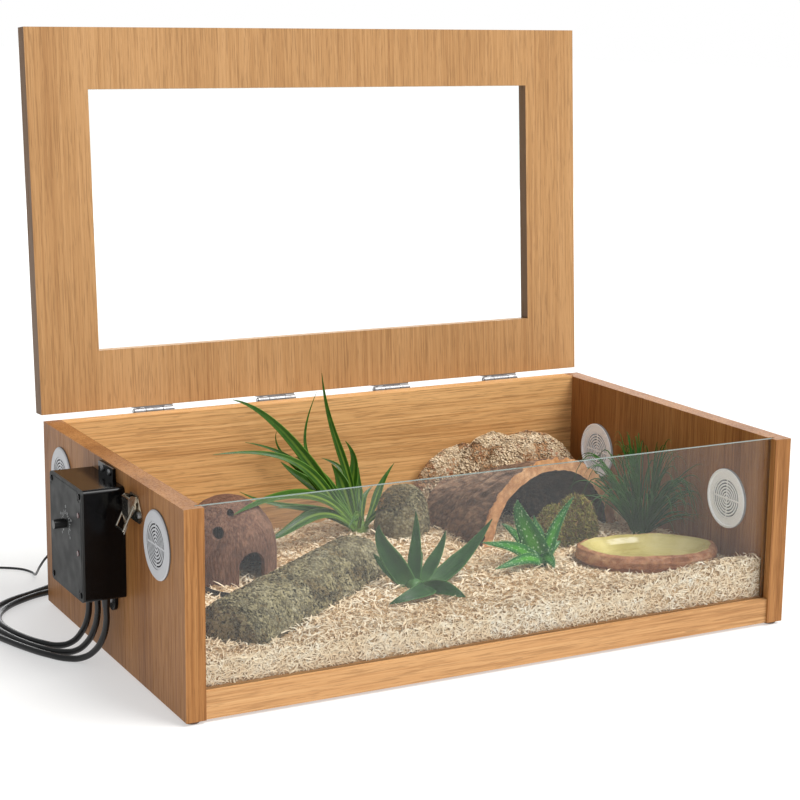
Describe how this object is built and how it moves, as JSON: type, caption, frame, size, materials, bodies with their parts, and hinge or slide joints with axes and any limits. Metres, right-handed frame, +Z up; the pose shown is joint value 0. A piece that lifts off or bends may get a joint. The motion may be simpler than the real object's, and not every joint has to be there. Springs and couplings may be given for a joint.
{
  "type": "vivarium",
  "caption": "Wooden vivarium with a hinged glazed lid leaning open, lift-out front glass, round vents, thermostat, toggle catches and a furnished interior.",
  "frame": {"origin": "on the floor under the middle of the cabinet, 3 mm below the middle of the base board's underside, because the glide feet hold the board off the floor", "axes": "+X to the right along the width, +Y from the glazed front to the back, +Z up"},
  "size_m": [0.7444, 0.544, 0.5692],
  "materials": {
    "beech": "matte",
    "black_plastic": "gloss",
    "black_rubber": "satin",
    "black_steel": "satin",
    "bright_steel": "polished",
    "brown_plastic": "satin",
    "circuit": "satin",
    "clay": "matte",
    "cork": "matte",
    "glass_clear": "gloss",
    "label_grey": "satin",
    "leaf_bright": "satin",
    "leaf_dark": "satin",
    "leaf_green": "satin",
    "lens": "gloss",
    "mat_film": "satin",
    "moss": "matte",
    "nickel": "satin",
    "oak_light": "satin",
    "oak_veneer": "satin",
    "resin_bark": "matte",
    "rock_resin": "gloss",
    "shavings": "matte",
    "speckled_cork": "matte",
    "vent_plastic": "satin"
  },
  "bodies": {
    "cabinet": {"left_side_panel": "oak_veneer", "right_side_panel": "oak_veneer", "back_panel": "oak_veneer", "base_panel": "oak_veneer", "front_rail": "oak_light", "panel_dowels": "beech", "glide_feet": "brown_plastic", "left_front_vent": "vent_plastic", "left_rear_vent": "vent_plastic", "right_front_vent": "vent_plastic", "right_rear_vent": "vent_plastic", "inner_vent_rings": "vent_plastic", "cable_grommet": "black_rubber", "hinge_back_leaves": "bright_steel", "hinge_pins": "bright_steel", "cabinet_screws": "bright_steel", "thermostat_case": "black_plastic", "thermostat_cover": "label_grey", "cover_screws": "black_steel", "indicator_lenses": "lens", "circuit_board": "circuit", "cable_glands": "black_rubber", "left_catch_base": "nickel", "right_catch_base": "nickel", "catch_rivets": "nickel", "heat_mat": "mat_film", "substrate": "shavings", "mains_lead": "black_rubber", "mains_lead_coil": "black_rubber", "mains_plug": "black_plastic", "heater_lead": "black_rubber", "heater_connector": "black_plastic", "mat_lead": "black_rubber", "mat_lead_coil": "black_rubber", "mat_lead_end": "black_rubber", "sensor_lead": "black_rubber", "sensor_lead_coil": "black_rubber", "sensor_lead_inside": "black_rubber", "sensor_probe": "black_plastic"},
    "lid": {"lid_board": "oak_veneer", "lid_glazing": "glass_clear", "hinge_lid_leaves": "bright_steel", "lid_screws": "bright_steel"},
    "front_glass_body": {"front_glass": "glass_clear"},
    "dial_knob_body": {"dial_knob": "black_plastic"},
    "left_catch_lever_body": {"left_catch_lever": "nickel"},
    "right_catch_lever_body": {"right_catch_lever": "nickel"},
    "left_catch_loop_body": {"left_catch_loop": "nickel"},
    "right_catch_loop_body": {"right_catch_loop": "nickel"},
    "water_bowl_body": {"water_bowl": "rock_resin"},
    "clay_cave_body": {"clay_cave": "clay"},
    "half_log_hide_body": {"half_log_hide": "resin_bark"},
    "cork_mound_body": {"cork_mound": "speckled_cork"},
    "cork_log_body": {"cork_log": "cork"},
    "cork_piece_body": {"cork_piece": "resin_bark"},
    "spider_plant_body": {"spider_plant": "leaf_green"},
    "dark_agave_body": {"dark_agave": "leaf_dark"},
    "spotted_aloe_body": {"spotted_aloe": "leaf_bright"},
    "grass_plant_body": {"grass_plant": "leaf_green"},
    "moss_clump_body": {"moss_clump": "moss"}
  },
  "joints": [
    {"name": "lid_hinge", "type": "hinge", "parent": "cabinet", "child": "lid", "pos_m": [0, 0.194, 0.187], "axis": [-1, 0, 0], "range_deg": [-93.69, 0]},
    {"name": "glass_lift", "type": "slide", "parent": "cabinet", "child": "front_glass_body", "axis": [0, 0, 1], "range_m": [0, 0.19]},
    {"name": "dial_turn", "type": "hinge", "parent": "cabinet", "child": "dial_knob_body", "pos_m": [-0.351, -0.003, 0.135], "axis": [1, 0, 0], "range_deg": [-135, 135]},
    {"name": "left_catch_swing", "type": "hinge", "parent": "cabinet", "child": "left_catch_lever_body", "pos_m": [-0.3184, -0.0735, 0.17], "axis": [0, -1, 0], "range_deg": [-95, 0]},
    {"name": "right_catch_swing", "type": "hinge", "parent": "cabinet", "child": "right_catch_lever_body", "pos_m": [0.3184, -0.0735, 0.17], "axis": [0, 1, 0], "range_deg": [-95, 0]},
    {"name": "left_loop_swing", "type": "hinge", "parent": "left_catch_lever_body", "child": "left_catch_loop_body", "pos_m": [-0.3178, -0.0735, 0.165], "axis": [0, 1, 0], "range_deg": [0, 120]},
    {"name": "right_loop_swing", "type": "hinge", "parent": "right_catch_lever_body", "child": "right_catch_loop_body", "pos_m": [0.3178, -0.0735, 0.165], "axis": [0, -1, 0], "range_deg": [0, 120]},
    {"name": "water_bowl_lift", "type": "slide", "parent": "cabinet", "child": "water_bowl_body", "axis": [0, 0, 1], "range_m": [0, 0.18]},
    {"name": "clay_cave_lift", "type": "slide", "parent": "cabinet", "child": "clay_cave_body", "axis": [0, 0, 1], "range_m": [0, 0.18]},
    {"name": "half_log_hide_lift", "type": "slide", "parent": "cabinet", "child": "half_log_hide_body", "axis": [0, 0, 1], "range_m": [0, 0.18]},
    {"name": "cork_mound_lift", "type": "slide", "parent": "cabinet", "child": "cork_mound_body", "axis": [0, 0, 1], "range_m": [0, 0.18]},
    {"name": "cork_log_lift", "type": "slide", "parent": "cabinet", "child": "cork_log_body", "axis": [0, 0, 1], "range_m": [0, 0.18]},
    {"name": "cork_piece_lift", "type": "slide", "parent": "cabinet", "child": "cork_piece_body", "axis": [0, 0, 1], "range_m": [0, 0.18]},
    {"name": "spider_plant_lift", "type": "slide", "parent": "cabinet", "child": "spider_plant_body", "axis": [0, 0, 1], "range_m": [0, 0.18]},
    {"name": "dark_agave_lift", "type": "slide", "parent": "cabinet", "child": "dark_agave_body", "axis": [0, 0, 1], "range_m": [0, 0.18]},
    {"name": "spotted_aloe_lift", "type": "slide", "parent": "cabinet", "child": "spotted_aloe_body", "axis": [0, 0, 1], "range_m": [0, 0.18]},
    {"name": "grass_plant_lift", "type": "slide", "parent": "cabinet", "child": "grass_plant_body", "axis": [0, 0, 1], "range_m": [0, 0.18]},
    {"name": "moss_clump_lift", "type": "slide", "parent": "cabinet", "child": "moss_clump_body", "axis": [0, 0, 1], "range_m": [0, 0.18]}
  ]
}
